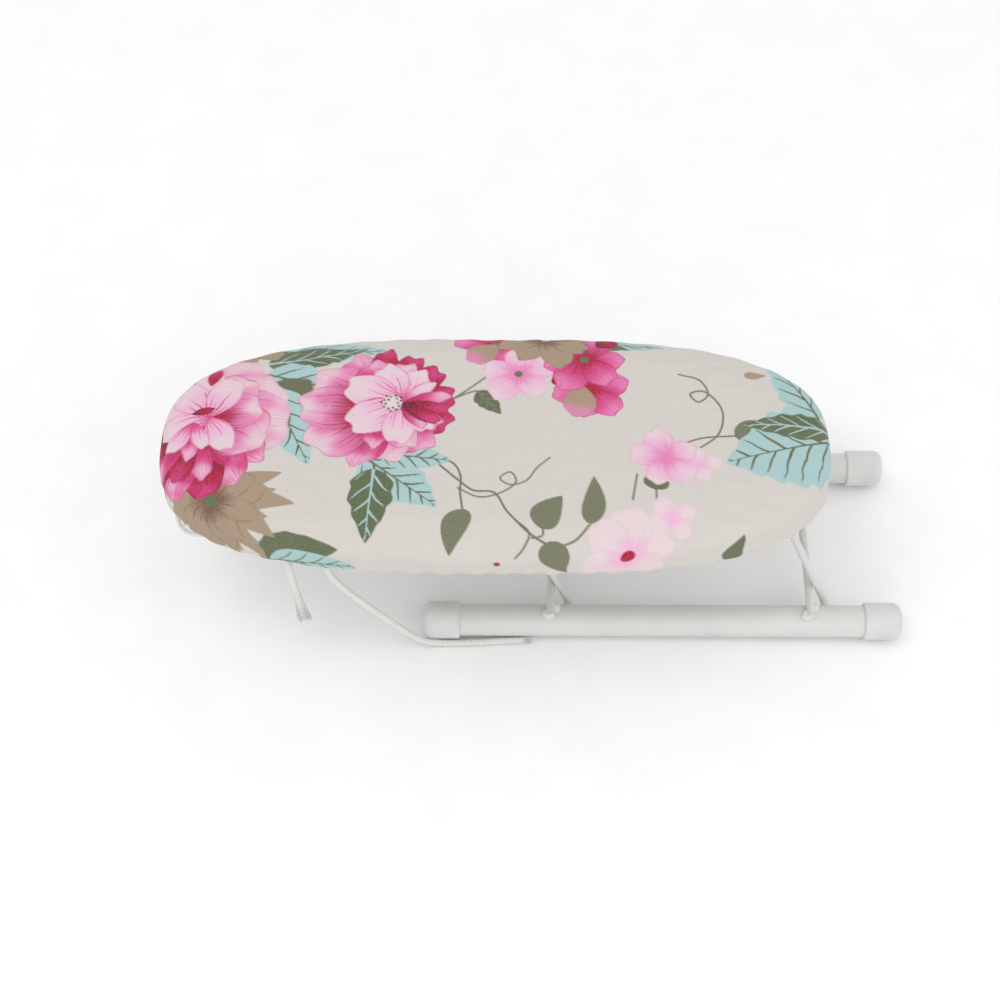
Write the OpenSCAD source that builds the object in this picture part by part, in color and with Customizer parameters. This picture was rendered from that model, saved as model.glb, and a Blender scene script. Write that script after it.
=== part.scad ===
/* [Board] */
// Length of the padded board
board_l = 260; // [240:5:300]
// Width of the padded board
board_w = 110; // [104:2:120]
// Height of the pad's top above the table
board_top = 77.5; // [72:0.5:85]
// Height of the board from the hem's underside to the pad's top
board_t = 19; // [17:1:22]
// Depth of the steel panel's turned-down rim
rim_depth = 6; // [5:0.5:7]
// Thickness of the panel's sheet steel
sheet_t = 1; // [0.8:0.1:1.2]
// Diameter of the steam holes
vent_d = 5; // [3:0.5:6]
// Spacing of the steam holes
vent_pitch = 17; // [15:1:22]

/* [Feet] */
// Outside diameter of the foot tubes
tube_d = 12.7; // [12:0.1:13.4]
// Wall of the foot tubes
tube_wall = 1; // [0.8:0.1:1.2]
// Length of a foot over its end caps
foot_l = 191; // [186:1:200]
// Distance between the two foot tubes
foot_gap = 78; // [76:1:82]
// How far the feet stand out past the board's end
foot_reach = 32; // [26:1:36]
// Outside diameter of the end caps
cap_d = 15; // [14.6:0.1:15.6]
// Length of an end cap
cap_l = 15; // [12:1:18]
// Diameter of the cross rods
rod_d = 3.2; // [3:0.1:3.6]

/* [Legs] */
// Diameter of the leg wire
wire_d = 3; // [2.8:0.1:3.2]
// Lean of the opened legs from upright, in degrees
leg_lean = 24; // [20:1:26]
// Distance between the two legs
leg_spacing = 103; // [100:1:106]
// Pivot of the left leg from the middle of the feet
first_pivot = -37; // [-40:1:-36]
// Width of a leg at its pivots
leg_foot_w = 59.6; // [58:0.2:60]
// Width of a leg at its hinge bar
leg_top_w = 38; // [34:1:40]

/* [Drawstring] */
// Diameter of the cotton drawstring
cord_d = 2.8; // [2.4:0.1:2.8]
// Diameter of the pulled-out loop, which is stretched thin
loop_d = 2; // [1.6:0.1:2.4]

/* [Hidden] */

// Places along X, with the whole object centred on the origin
board_x = -foot_reach / 2;
foot_x = (board_l + foot_reach) / 2 - foot_l / 2;
pivot_x = [foot_x + first_pivot, foot_x + first_pivot + leg_spacing];

// Heights; each cap has a narrow flat under it, on which the feet stand
cap_flat = 0.25;
axis_z = cap_d / 2 - cap_flat;
rod_z = axis_z + tube_d / 2 + rod_d / 2 - 0.1;
hem_z = board_top - board_t;
rim_z = hem_z + 1;
sheet_z = rim_z + rim_depth;
bar_clear = 0.1;
bar_z = sheet_z - sheet_t - wire_d / 2 - bar_clear;

// Leg linkage: length along the lean, shift of the hinge bar, and place of the stop rods
leg_rise = bar_z - axis_z;
leg_len = leg_rise / cos(leg_lean);
leg_shift = leg_rise * tan(leg_lean);
bar_x = [pivot_x[0] - leg_shift, pivot_x[1] - leg_shift];
stop_gap = 0.3;
rod_back = (rod_z - axis_z) * tan(leg_lean) + (rod_d / 2 + wire_d / 2 + stop_gap) / cos(leg_lean);

// Soft layers and insets from the board's outline
cover_t = 0.7;
soft_gap = 0.3;
rim_inset = 4;
rim_wall = 1.2;
casing_in = 5.6;
casing_out = 10.8;
casing_wall = 0.8;
casing_z = hem_z - 1.2;
casing_h = 4.6;
casing_gap = [board_x - 86, board_x - 56];
felt_t = 2;

// Bends of the leg wire, each cut across in one straight step, with slightly swollen corners
foot_bend = 3;
top_bend = 4;
bend_steps = 1;
corner_swell = 0.12;
pin_grip = 4.4;

// Hinge clips
clip_y = 10.5;
clip_w = 9;
clip_t = 1;
clip_reach = 9;
rivet_r = 1.25;
rivet_x = 6;

// Colours
steel_white = [0.93, 0.93, 0.92];
plastic_white = [0.88, 0.88, 0.87];
cotton_cream = [0.90, 0.87, 0.82];
felt_grey = [0.78, 0.77, 0.74];
foam_yellow = [0.93, 0.89, 0.72];
cord_white = [0.96, 0.96, 0.94];

// Outline of the board: a superellipse that is inset by d
function outline(d, n = 96) = [
    for (i = [0:n - 1])
        let (c = cos(360 * i / n), s = sin(360 * i / n))
        [board_x + (board_l / 2 - d) * sign(c) * pow(abs(c), 2 / 3),
         (board_w / 2 - d) * sign(s) * pow(abs(s), 2 / 3)]
];

// True if a point lies inside the outline inset by d
function inside(x, y, d) =
    pow(abs(x - board_x) / (board_l / 2 - d), 3) + pow(abs(y) / (board_w / 2 - d), 3) < 1;

// Ring of flat wall between two insets of the outline
module band(outer, inner, z, h) {
    translate([0, 0, z])
        linear_extrude(h)
            difference() {
                polygon(outline(outer));
                polygon(outline(inner));
            }
}

// Two triangles for each wall between one ring of n points and the next, and a flat end at each end
function ring_faces(rings, n) = concat(
    [[for (k = [0:n - 1]) k]],
    [
        for (i = [0:rings - 2], k = [0:n - 1])
            let (a = i * n + k, b = i * n + (k + 1) % n)
            [a + n, b, a]
    ],
    [
        for (i = [0:rings - 2], k = [0:n - 1])
            let (a = i * n + k, b = i * n + (k + 1) % n)
            [a + n, b + n, b]
    ],
    [[for (k = [n - 1:-1:0]) (rings - 1) * n + k]]
);

// Solid through layers, each an inset of the outline and a height, listed upwards on the outside
module loft(layers, n = 96) {
    points = [for (layer = layers) for (p = outline(layer[0], n)) [p[0], p[1], layer[1]]];
    polyhedron(points = points, faces = ring_faces(len(layers), n), convexity = 6);
}

// One foot tube, with its two pivot holes on the side that faces the other foot
module foot_tube(side) {
    y = side * foot_gap / 2;
    color(steel_white)
        difference() {
            translate([foot_x, y, axis_z])
                rotate([0, 90, 0])
                    difference() {
                        cylinder(h = foot_l - 3, d = tube_d, center = true, $fn = 64);
                        cylinder(h = foot_l, d = tube_d - 2 * tube_wall, center = true, $fn = 64);
                    }
            for (x = pivot_x)
                translate([x, y - side * tube_d / 2, axis_z])
                    rotate([90, 0, 0])
                        cylinder(h = 6, r = wire_d / 2 + 0.06, center = true, $fn = 48);
        }
}

// End cap profile: a sleeve closed by a domed end, around the Z axis
module cap_profile() {
    round_r = 3.5;
    edge_r = 0.8;
    r = cap_d / 2;
    bore_r = tube_d / 2 + 0.02;
    difference() {
        union() {
            square([r - round_r, cap_l]);
            translate([0, edge_r]) square([r, cap_l - round_r - edge_r]);
            square([r - edge_r, cap_l - round_r]);
            translate([r - edge_r, edge_r]) circle(edge_r, $fn = 48);
            translate([r - round_r, cap_l - round_r]) intersection() {
                circle(round_r, $fn = 64);
                square(round_r);
            }
        }
        square([bore_r, cap_l - 1.5]);
    }
}

// One end cap, cut flat where it meets the table
module end_cap(side, end) {
    color(plastic_white)
        difference() {
            translate([foot_x + end * (foot_l / 2 - cap_l), side * foot_gap / 2, axis_z])
                rotate([0, end * 90, 0])
                    rotate_extrude($fn = 64)
                        cap_profile();
            translate([foot_x - foot_l, -foot_gap, -1])
                cube([2 * foot_l, 2 * foot_gap, 1]);
        }
}

// Cross rod that lies on both foot tubes, with its weld beads
module cross_rod(x) {
    weld_r = 2.4;
    color(steel_white)
        difference() {
            union() {
                translate([x, 0, rod_z])
                    rotate([90, 0, 0])
                        cylinder(h = foot_gap + 7, d = rod_d, center = true, $fn = 48);
                for (side = [-1, 1], lean = [-1, 1])
                    translate([x + lean * 1.5, side * (foot_gap / 2 + lean * -1.6), rod_z - 1.6])
                        sphere(weld_r, $fn = 32);
            }
            for (side = [-1, 1])
                translate([x, side * foot_gap / 2, axis_z])
                    rotate([0, 90, 0])
                        cylinder(h = 20, d = tube_d, center = true, $fn = 64);
        }
}

function unit(v) = v / norm(v);
function turn(a, b) = atan2(a[0] * b[1] - a[1] * b[0], a[0] * b[0] + a[1] * b[1]);

// Bend of a wire at b, on the way from a to c: points along an arc of the bend's radius
function bend_points(a, b, c, bend) =
    let (way = unit(b - a), angle = turn(way, unit(c - b)),
         side = [-way[1], way[0]] * sign(angle),
         middle = b - way * bend * tan(abs(angle) / 2) + side * bend)
    [
        for (j = [0:bend_steps])
            let (t = angle * j / bend_steps)
            middle - bend * [side[0] * cos(t) - side[1] * sin(t), side[0] * sin(t) + side[1] * cos(t)]
    ];

// Round wire in the XY plane, straight between the points and rounded at each
module wire(points, d) {
    for (i = [0:len(points) - 2])
        let (way = points[i + 1] - points[i])
            translate([points[i][0], points[i][1], 0])
                rotate([0, 90, atan2(way[1], way[0])])
                    cylinder(h = norm(way), d = d, $fn = 32);
    for (i = [1:len(points) - 2])
        let (way = points[i + 1] - points[i - 1])
            translate([points[i][0], points[i][1], 0])
                rotate([0, 90, atan2(way[1], way[0])])
                    sphere(d = d + corner_swell, $fn = 40);
}

// One leg: a wire bent to a tapered U, whose ends turn out into the foot tubes
module leg_wire(x) {
    pin_y = foot_gap / 2 - tube_d / 2 + pin_grip;
    corners = [[-leg_foot_w / 2, 0], [-leg_top_w / 2, leg_len], [leg_top_w / 2, leg_len], [leg_foot_w / 2, 0]];
    points = concat(
        [[-pin_y, 0]],
        bend_points([-pin_y, 0], corners[0], corners[1], foot_bend),
        bend_points(corners[0], corners[1], corners[2], top_bend),
        bend_points(corners[1], corners[2], corners[3], top_bend),
        bend_points(corners[2], corners[3], [pin_y, 0], foot_bend),
        [[pin_y, 0]]
    );
    color(steel_white)
        translate([x, 0, axis_z])
            rotate([0, -leg_lean, 0])
                rotate([90, 0, 90])
                    wire(points, wire_d);
}

// Places of the rivets: two through each clip
rivet_spots = [for (x = bar_x, side = [-1, 1], end = [-1, 1]) [x + end * rivet_x, side * clip_y]];

// Steam holes in staggered rows, clear of the edge and of the clips
vent_spots = [
    for (row = [-2:2], column = [-8:8])
        let (x = board_x + (column + (row % 2 == 0 ? 0 : 0.5)) * vent_pitch, y = row * vent_pitch)
        if (inside(x, y, rim_inset + 8)
            && min([for (s = rivet_spots) norm([x, y] - s)]) > vent_d)
            [x, y]
];

module board_panel() {
    color(steel_white)
        translate([0, 0, sheet_z - sheet_t])
            difference() {
                linear_extrude(sheet_t)
                    polygon(outline(rim_inset));
                for (spot = vent_spots)
                    translate([spot[0], spot[1], -1])
                        cylinder(h = sheet_t + 2, d = vent_d, $fn = 32);
                for (spot = rivet_spots)
                    translate([spot[0], spot[1], -1])
                        cylinder(h = sheet_t + 2, r = rivet_r, $fn = 32);
            }
}

module panel_rim() {
    color(steel_white)
        band(rim_inset, rim_inset + rim_wall, rim_z, rim_depth - sheet_t);
}

// Hinge clip: a strap bent over the leg's bar, with a foot on each side
module hinge_clip(x, side) {
    bore_r = wire_d / 2 + bar_clear;
    outer_r = bore_r + clip_t;
    color(steel_white)
        translate([x, side * clip_y, bar_z])
            difference() {
                rotate([90, 0, 0])
                    linear_extrude(clip_w, center = true)
                        difference() {
                            union() {
                                circle(outer_r, $fn = 64);
                                translate([-outer_r, 0]) square([2 * outer_r, bore_r]);
                                translate([-clip_reach, bore_r - clip_t])
                                    square([2 * clip_reach, clip_t]);
                            }
                            circle(bore_r, $fn = 64);
                            translate([-bore_r, 0]) square([2 * bore_r, outer_r + 1]);
                            translate([-outer_r, bore_r]) square([2 * outer_r, outer_r]);
                        }
                for (end = [-1, 1])
                    translate([end * rivet_x, 0, 0])
                        cylinder(h = 10, r = rivet_r, center = true, $fn = 32);
            }
}

// Rivets with a domed head under each clip foot, flush with the top of the panel
module clip_rivets() {
    head_r = 2.3;
    head_h = 1.1;
    grip = sheet_t + clip_t;
    color(steel_white)
        for (spot = rivet_spots)
            translate([spot[0], spot[1], sheet_z - grip])
                rotate_extrude($fn = 48)
                    union() {
                        square([rivet_r, grip]);
                        translate([0, -head_h])
                            intersection() {
                                translate([0, head_h]) circle(head_r, $fn = 64);
                                square([head_r, head_h]);
                            }
                    }
}

module felt_underlay() {
    color(felt_grey)
        translate([0, 0, sheet_z])
            linear_extrude(felt_t)
                polygon(outline(rim_inset - 1));
}

// Layers of the board's skin from the side up to the crown, moved inwards by d
function crown(d) = [
    [d, board_top - 6], [2 + d, board_top - 3 - d], [6 + d, board_top - 1.2 - d],
    [14 + d, board_top - 0.3 - d], [28 + d, board_top - d]
];

// Layers of the skin under the side, where it turns in below the rim
function tuck(d) = [[2 + d, hem_z + d], [0.3 + d, hem_z + 1.5 + d], [d, hem_z + 4]];

function backwards(list) = [for (i = [len(list) - 1:-1:0]) list[i]];

module foam_pad() {
    inner = cover_t + soft_gap;
    color(foam_yellow)
        loft(concat([[inner, sheet_z + felt_t]], crown(inner)));
}

// Cover: down its inside, round the hem's edge, and up its outside
module fabric_cover() {
    inside_layers = backwards(concat(tuck(cover_t), crown(cover_t)));
    hem = [[casing_in, hem_z + cover_t], [casing_in, hem_z]];
    color(cotton_cream)
        loft(concat(inside_layers, hem, tuck(0), crown(0)));
}

// Fabric tunnel along the cover's hem, open where the drawstring comes out
module hem_casing() {
    color(cotton_cream)
        difference() {
            band(casing_in, casing_out, casing_z, casing_h);
            band(casing_in + casing_wall, casing_out - casing_wall,
                casing_z + casing_wall, casing_h - 2 * casing_wall);
            translate([casing_gap[0], -board_w, casing_z - 1])
                cube([casing_gap[1] - casing_gap[0], board_w, casing_h + 2]);
        }
}

// Tube swept along points; ref is a direction that the path never follows
module cord(path, r, ref, sides = 8) {
    last = len(path) - 1;
    rings = [
        for (i = [0:last])
            let (t = unit(path[min(i + 1, last)] - path[max(i - 1, 0)]),
                 u = unit(cross(t, ref)), v = cross(t, u))
            for (k = [0:sides - 1])
                path[i] + r * (cos(360 * k / sides) * u + sin(360 * k / sides) * v)
    ];
    polyhedron(points = rings, faces = ring_faces(last + 1, sides), convexity = 4);
}

// Middle line of the casing at an angle of its outline
casing_mid = (casing_in + casing_out) / 2;
cord_z = casing_z + casing_h / 2;
function casing_angle(x) = 180 + acos(pow(abs(x - board_x) / (board_l / 2 - casing_mid), 1.5));
function casing_point(a) = [
    board_x + (board_l / 2 - casing_mid) * sign(cos(a)) * pow(abs(cos(a)), 2 / 3),
    (board_w / 2 - casing_mid) * sign(sin(a)) * pow(abs(sin(a)), 2 / 3),
    cord_z
];

module casing_cord() {
    rings = 56;
    first = casing_angle(casing_gap[1]);
    last = casing_angle(casing_gap[0]) + 360;
    path = [for (i = [0:rings - 1]) casing_point(first + (last - first) * i / (rings - 1))];
    color(cord_white)
        cord(path, cord_d / 2, [0, 0, 1]);
}

// Routes of the free ends, from where they leave the casing
long_route = [
    [-72.5, -45.2, 59.5], [-75.5, -45.1, 59.3], [-78.5, -45.4, 56.5], [-79.8, -46, 52.5],
    [-78.5, -46.8, 48], [-74.5, -47.6, 42], [-68, -48.2, 33.5], [-61, -48.5, 25],
    [-54, -48.4, 16], [-48.5, -48, 9], [-43.5, -47.2, 4], [-37, -46.4, 1.6],
    [-29, -46.2, 1.5], [-21, -45.8, 1.5], [-13, -45.2, 1.5], [-4, -44.8, 1.5]
];
short_route = [
    [-102, -40.6, 59.5], [-99, -41.6, 58.9], [-96.3, -43, 56.1], [-94.9, -44.4, 51.5],
    [-93.9, -45.4, 44.5], [-92.9, -46, 36.5], [-91.9, -46.3, 28.5], [-90.9, -46.5, 19.5]
];
loop_route = [
    [-136.9, -13, 56.1], [-139.1, -15.4, 52.7], [-139.9, -19, 49.9], [-138.5, -23.2, 48.5],
    [-135.1, -27, 48.9], [-130.7, -29.6, 51.1], [-126.9, -31, 53.9], [-124.5, -31.6, 56.1]
];

module long_tail() {
    color(cord_white)
        cord(long_route, cord_d / 2, [0, 1, 0]);
}

module short_tail() {
    color(cord_white)
        cord(short_route, cord_d / 2, [0, 1, 0]);
}

module end_loop() {
    color(cord_white)
        cord(loop_route, loop_d / 2, [1, 0, 0]);
}

foot_tube(-1);  // front_foot_tube
foot_tube(1);  // rear_foot_tube
end_cap(-1, -1);  // front_left_cap
end_cap(-1, 1);  // front_right_cap
end_cap(1, -1);  // rear_left_cap
end_cap(1, 1);  // rear_right_cap
cross_rod(pivot_x[0] - rod_back);  // left_cross_rod
cross_rod(pivot_x[1] - rod_back);  // right_cross_rod
leg_wire(pivot_x[0]);  // left_leg_wire
leg_wire(pivot_x[1]);  // right_leg_wire
board_panel();
panel_rim();
hinge_clip(bar_x[0], -1);  // left_front_clip
hinge_clip(bar_x[0], 1);  // left_rear_clip
hinge_clip(bar_x[1], -1);  // right_front_clip
hinge_clip(bar_x[1], 1);  // right_rear_clip
clip_rivets();
felt_underlay();
foam_pad();
fabric_cover();
hem_casing();
casing_cord();
long_tail();
short_tail();
end_loop();
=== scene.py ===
"""Looks of a small folding sleeve board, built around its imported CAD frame. Lengths in metres unless a
name ends in _MM; the printed cotton is painted in millimetres from the middle of the board."""

import math

import bpy
import numpy as np
from mathutils import Matrix, Vector


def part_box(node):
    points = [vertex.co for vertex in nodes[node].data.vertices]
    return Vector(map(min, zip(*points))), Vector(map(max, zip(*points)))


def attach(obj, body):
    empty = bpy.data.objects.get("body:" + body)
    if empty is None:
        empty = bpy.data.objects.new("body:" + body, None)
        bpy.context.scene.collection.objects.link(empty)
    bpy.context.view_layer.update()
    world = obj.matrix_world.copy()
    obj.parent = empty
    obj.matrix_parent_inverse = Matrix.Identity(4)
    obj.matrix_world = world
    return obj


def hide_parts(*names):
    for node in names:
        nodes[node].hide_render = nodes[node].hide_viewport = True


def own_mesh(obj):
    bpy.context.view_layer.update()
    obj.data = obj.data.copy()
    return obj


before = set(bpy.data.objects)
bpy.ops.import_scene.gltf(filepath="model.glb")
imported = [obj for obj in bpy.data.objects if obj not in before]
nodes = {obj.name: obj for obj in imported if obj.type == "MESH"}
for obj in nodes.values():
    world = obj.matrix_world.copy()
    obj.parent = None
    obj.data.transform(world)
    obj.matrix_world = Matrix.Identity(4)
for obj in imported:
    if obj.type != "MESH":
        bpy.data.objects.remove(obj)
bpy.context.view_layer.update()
MM = 0.001

# ---------------------------------------------------------------- the board's own measures
cover_low, cover_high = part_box("fabric_cover")
BOARD_X = (cover_low[0] + cover_high[0]) / 2
BOARD_L = cover_high[0] - cover_low[0]
BOARD_W = cover_high[1] - cover_low[1]
BOARD_TOP = cover_high[2]
HEM_Z = cover_low[2]
casing_low, casing_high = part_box("hem_casing")
PANEL_POWER, CLOTH_POWER = 3.0, 2.72


def outline(inset, angle, power=PANEL_POWER):
    """Points of the board's superellipse outline, moved in by inset, at these angles."""
    c, s = np.cos(angle), np.sin(angle)
    return np.stack([
        BOARD_X + (BOARD_L / 2 - inset) * np.sign(c) * np.abs(c) ** (2 / power),
        (BOARD_W / 2 - inset) * np.sign(s) * np.abs(s) ** (2 / power),
    ], axis=-1)


def even_angles(count, start=0.0, end=2 * math.pi):
    """Angles whose outline points are about equally far apart."""
    angle = np.linspace(start, end, 8001)
    points = outline(0.0, angle)
    run = np.concatenate([[0], np.cumsum(np.linalg.norm(np.diff(points, axis=0), axis=1))])
    closed = abs(end - start - 2 * math.pi) < 1e-6
    return np.interp(np.linspace(0, run[-1], count + 1 if closed else count), run, angle)[:count]


def resample(points, step):
    """Points about step apart along a polyline."""
    points = np.asarray(points, float)
    run = np.concatenate([[0], np.cumsum(np.linalg.norm(np.diff(points, axis=0), axis=1))])
    at = np.linspace(0, run[-1], max(2, int(round(run[-1] / step)) + 1))
    return np.stack([np.interp(at, run, points[:, i]) for i in range(points.shape[1])], axis=1)


def smooth_path(points, step):
    """A smooth curve through points (Catmull-Rom), resampled."""
    p = np.asarray(points, float)
    p = np.vstack([2 * p[0] - p[1], p, 2 * p[-1] - p[-2]])
    t = np.linspace(0, 1, 12, endpoint=False)[:, None]
    out = []
    for a, b, c, d in zip(p[:-3], p[1:-2], p[2:-1], p[3:]):
        out.append(0.5 * (2 * b + (c - a) * t + (2 * a - 5 * b + 4 * c - d) * t ** 2
                          + (3 * b - a - 3 * c + d) * t ** 3))
    return resample(np.vstack(out + [p[-2][None]]), step)


# ---------------------------------------------------------------- meshes
def new_mesh(name, verts, faces, smooth=True):
    mesh = bpy.data.meshes.new(name)
    mesh.from_pydata([tuple(v) for v in verts], [], [tuple(f) for f in faces])
    mesh.update()
    if smooth:
        mesh.shade_smooth()
    obj = bpy.data.objects.new(name, mesh)
    bpy.context.scene.collection.objects.link(obj)
    return obj


def set_coordinates(obj, co):
    obj.data.vertices.foreach_set("co", np.asarray(co, np.float32).ravel())
    obj.data.update()


def coordinates(mesh):
    co = np.zeros(len(mesh.vertices) * 3, np.float32)
    mesh.vertices.foreach_get("co", co)
    return co.reshape(-1, 3).astype(float)


def apply_modifiers(obj):
    """Puts what the modifiers make into the object's own mesh."""
    depsgraph = bpy.context.evaluated_depsgraph_get()
    made = bpy.data.meshes.new_from_object(obj.evaluated_get(depsgraph), depsgraph=depsgraph)
    obj.modifiers.clear()
    obj.data = made
    made.shade_smooth()


def frames_along(path):
    """Unit tangent, side and up for each point of a path, turned as little as possible."""
    tangent = np.gradient(path, axis=0)
    tangent /= np.linalg.norm(tangent, axis=1)[:, None]
    side = np.zeros_like(path)
    ref = np.array([0.0, 0.0, 1.0]) if abs(tangent[0][2]) < 0.9 else np.array([0.0, 1.0, 0.0])
    last = np.cross(tangent[0], ref)
    for i, t in enumerate(tangent):
        last = last - t * np.dot(last, t)
        last = last / np.linalg.norm(last)
        side[i] = last
    return tangent, side, np.cross(tangent, side)


def tube(name, path, radius_at, sides, capped=True):
    """A closed tube along path; radius_at(i, angles) gives each ring's radii."""
    _, side, up = frames_along(path)
    angle = np.linspace(0, 2 * math.pi, sides, endpoint=False)
    verts = []
    for i, centre in enumerate(path):
        r = radius_at(i, angle)
        verts.append(centre + (r * np.cos(angle))[:, None] * side[i] + (r * np.sin(angle))[:, None] * up[i])
    verts = np.vstack(verts)
    faces = []
    for i in range(len(path) - 1):
        for k in range(sides):
            a, b = i * sides + k, i * sides + (k + 1) % sides
            faces.append((a, b, b + sides, a + sides))
    if capped:
        faces.append(tuple(range(sides - 1, -1, -1)))
        last = (len(path) - 1) * sides
        faces.append(tuple(range(last, last + sides)))
    return new_mesh(name, verts, faces)


def twisted_rope(name, path, diameter, strands=3, pitch=7 * MM, sides=24, step=0.6 * MM, depth=0.26):
    """A laid rope, a tube whose strands wind round it, and the path that it follows."""
    path = resample(path, step)

    def radii(i, angle):
        phase = strands * (angle - 2 * math.pi * i * step / pitch) / 2
        tip = min(1.0, 0.72 + 0.28 * min(i, len(path) - 1 - i) / 2)
        return diameter / 2 * tip * (1 - depth * (1 - np.abs(np.cos(phase))) ** 1.2)

    return tube(name, path, radii, sides), path


# ---------------------------------------------------------------- materials
def linear(colour):
    """Linear RGB of a six-digit colour."""
    value = np.array([int(colour[i:i + 2], 16) / 255 for i in (0, 2, 4)])
    return np.where(value <= 0.04045, value / 12.92, ((value + 0.055) / 1.055) ** 2.4)


def rgba(colour):
    return tuple(float(v) for v in linear(colour)) + (1.0,)


class Nodes:
    """Short names for building one node material."""

    def __init__(self, name):
        self.material = bpy.data.materials.new(name)
        self.material.use_nodes = True
        self.tree = self.material.node_tree
        self.tree.nodes.clear()
        output = self.tree.nodes.new("ShaderNodeOutputMaterial")
        self.shader = self.tree.nodes.new("ShaderNodeBsdfPrincipled")
        self.link(self.shader.outputs[0], output.inputs[0])

    def add(self, kind, **values):
        node = self.tree.nodes.new("ShaderNode" + kind)
        for key, value in values.items():
            if hasattr(node, key):
                setattr(node, key, value)
        return node

    def link(self, source, target):
        self.tree.links.new(source, target)

    def put(self, socket, value):
        if hasattr(value, "is_output"):
            self.link(value, socket)
        else:
            socket.default_value = value

    def position(self):
        return self.add("TexCoord").outputs["Object"]

    def stretched(self, vector, scale):
        node = self.add("Mapping")
        self.put(node.inputs["Vector"], vector)
        node.inputs["Scale"].default_value = scale
        return node.outputs[0]

    def noise(self, vector, scale, detail=3.0, roughness=0.55):
        node = self.add("TexNoise")
        self.put(node.inputs["Vector"], vector)
        node.inputs["Scale"].default_value = scale
        node.inputs["Detail"].default_value = detail
        node.inputs["Roughness"].default_value = roughness
        return node.outputs[0]

    def wave(self, vector, scale, direction, distortion=0.0):
        node = self.add("TexWave", wave_type="BANDS", bands_direction=direction)
        self.put(node.inputs["Vector"], vector)
        node.inputs["Scale"].default_value = scale
        node.inputs["Distortion"].default_value = distortion
        node.inputs["Detail"].default_value = 1.0
        return node.outputs["Fac"]

    def math(self, operation, a, b=0.0):
        node = self.add("Math", operation=operation)
        self.put(node.inputs[0], a)
        self.put(node.inputs[1], b)
        return node.outputs[0]

    def ranged(self, value, low, high, to_low, to_high):
        node = self.add("MapRange")
        self.put(node.inputs["Value"], value)
        for key, number in (("From Min", low), ("From Max", high), ("To Min", to_low), ("To Max", to_high)):
            node.inputs[key].default_value = number
        return node.outputs[0]

    def mix(self, factor, a, b, blend="MIX"):
        node = self.add("Mix", data_type="RGBA", blend_type=blend)
        self.put(node.inputs["Factor"], factor)
        self.put(node.inputs[6], a)
        self.put(node.inputs[7], b)
        return node.outputs[2]

    def bump(self, height, strength, distance):
        node = self.add("Bump")
        node.inputs["Strength"].default_value = strength
        node.inputs["Distance"].default_value = distance
        self.put(node.inputs["Height"], height)
        return node.outputs[0]

    def finish(self, **inputs):
        for key, value in inputs.items():
            self.put(self.shader.inputs[key.replace("_", " ")], value)
        return self.material


def painted_steel():
    """White powder paint: a faint orange peel, slightly uneven gloss and dust in its tone."""
    n = Nodes("painted_steel")
    place = n.position()
    tone = n.noise(place, 60.0, 4.0)
    peel = n.noise(place, 900.0, 2.0)
    colour = n.mix(n.ranged(tone, 0.3, 0.7, 0.0, 1.0), rgba("cecfcc"), rgba("d5d6d3"))
    gloss = n.ranged(n.noise(place, 240.0), 0.3, 0.7, 0.30, 0.42)
    return n.finish(Base_Color=colour, Roughness=gloss, Normal=n.bump(peel, 0.12, 0.0002))


def cap_plastic():
    """Moulded polythene: soft, a little cloudy, with a fine sandy grain."""
    n = Nodes("cap_plastic")
    place = n.position()
    cloud = n.noise(place, 110.0, 3.0)
    grain = n.noise(place, 2600.0, 2.0)
    colour = n.mix(n.ranged(cloud, 0.3, 0.7, 0.0, 1.0), rgba("cbcbc9"), rgba("d6d6d4"))
    rough = n.ranged(cloud, 0.3, 0.7, 0.46, 0.58)
    n.shader.inputs["Subsurface Weight"].default_value = 0.12
    n.shader.inputs["Subsurface Scale"].default_value = 0.004
    return n.finish(Base_Color=colour, Roughness=rough, Normal=n.bump(grain, 0.15, 0.0001))


def bare_steel():
    """Zinc-plated rivet: fine scratches over a grey metal."""
    n = Nodes("bare_steel")
    place = n.position()
    scratch = n.noise(n.stretched(place, (1.0, 9.0, 3.0)), 1500.0, 3.0)
    colour = n.mix(scratch, rgba("8e9094"), rgba("c4c6c8"))
    rough = n.ranged(scratch, 0.3, 0.7, 0.28, 0.5)
    n.shader.inputs["Metallic"].default_value = 1.0
    return n.finish(Base_Color=colour, Roughness=rough, Normal=n.bump(scratch, 0.2, 0.0001))


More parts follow.
